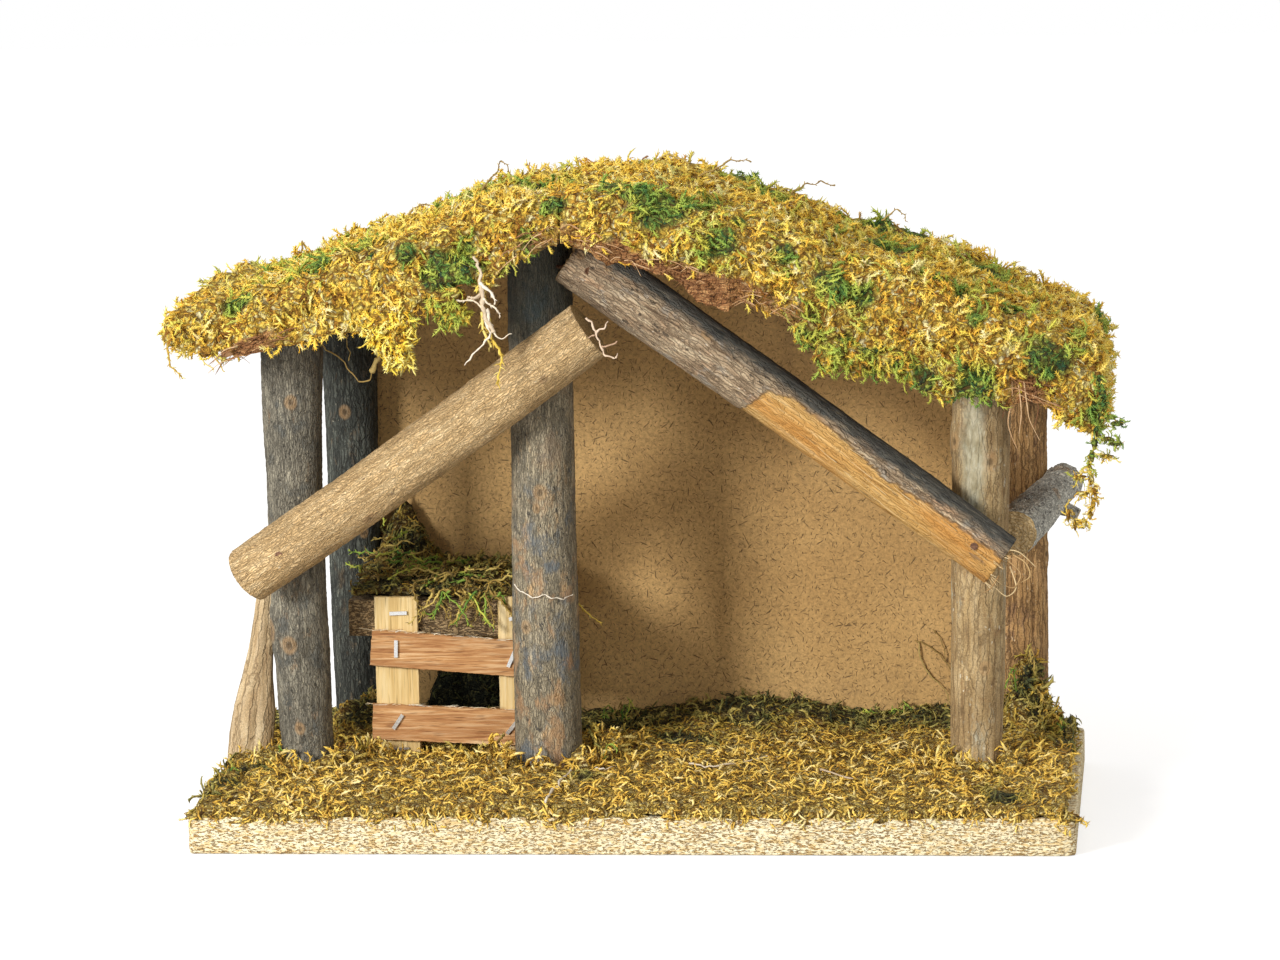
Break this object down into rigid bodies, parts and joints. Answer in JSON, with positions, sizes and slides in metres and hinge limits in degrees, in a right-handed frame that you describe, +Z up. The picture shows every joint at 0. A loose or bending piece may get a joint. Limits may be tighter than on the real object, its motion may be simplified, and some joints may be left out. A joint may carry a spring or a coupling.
{
  "type": "nativity stable",
  "caption": "Open-fronted nativity stable of branch-wood posts and braces on a chipboard base, with a mossy pitched roof, a hardboard back wall and a small slatted manger rack.",
  "frame": {"origin": "the middle of the underside of the base board", "axes": "+X to the right seen from the open front, along the length of the base; +Y from the open front to the back wall; +Z up"},
  "size_m": [0.3064, 0.159, 0.2109],
  "materials": {
    "chipboard": "raw pressed wood chips, matt",
    "hardboard": "smooth brown fibreboard, satin",
    "dark_bark": "rough slate and brown bark, matt",
    "grey_bark": "weathered grey and tan bark, matt",
    "tan_bark": "tan bark with fine ridges, matt",
    "pale_wood": "straw-coloured split wood, matt",
    "red_wood": "reddish split wood, matt",
    "moss": "dried golden moss, fibrous",
    "steel": "plain bright wire"
  },
  "bodies": {
    "root": {"post_front_left": "dark_bark", "post_back_left": "dark_bark", "post_front_centre": "dark_bark", "post_front_right": "grey_bark", "post_back_right": "tan_bark", "brace_left": "tan_bark", "brace_right": "dark_bark", "side_rail_right": "dark_bark", "prop_left": "tan_bark", "base_board": "chipboard", "back_wall": "hardboard", "roof_panel_left": "hardboard", "roof_panel_right": "hardboard", "rack_strip_left": "pale_wood", "rack_strip_right": "pale_wood", "rack_slat_upper": "red_wood", "rack_slat_lower": "red_wood", "loft_board": "chipboard", "moss_roof_left": "moss", "moss_roof_right": "moss", "moss_floor": "moss", "moss_loft": "moss", "nail_foot_front_left": "steel", "nail_foot_back_left": "steel", "nail_foot_front_centre": "steel", "nail_foot_front_right": "steel", "nail_foot_back_right": "steel", "nail_roof_front_left": "steel", "nail_roof_back_left": "steel", "nail_roof_front_centre": "steel", "nail_roof_front_right": "steel", "nail_roof_back_right": "steel", "nail_brace_left_low": "steel", "nail_brace_left_high": "steel", "nail_brace_right_low": "steel", "nail_brace_right_high": "steel", "nail_rail_front": "steel", "nail_rail_back": "steel", "nail_prop": "steel", "nail_wall_left_low": "steel", "nail_wall_left_high": "steel", "nail_wall_right_low": "steel", "nail_wall_right_high": "steel", "nail_loft_left": "steel", "nail_loft_right": "steel", "staple_strip_left_top": "steel", "staple_strip_left_foot": "steel", "staple_strip_right_top": "steel", "staple_strip_right_foot": "steel", "staple_slat_upper_left": "steel", "staple_slat_upper_right": "steel", "staple_slat_lower_left": "steel", "staple_slat_lower_right": "steel"}
  },
  "joints": []
}
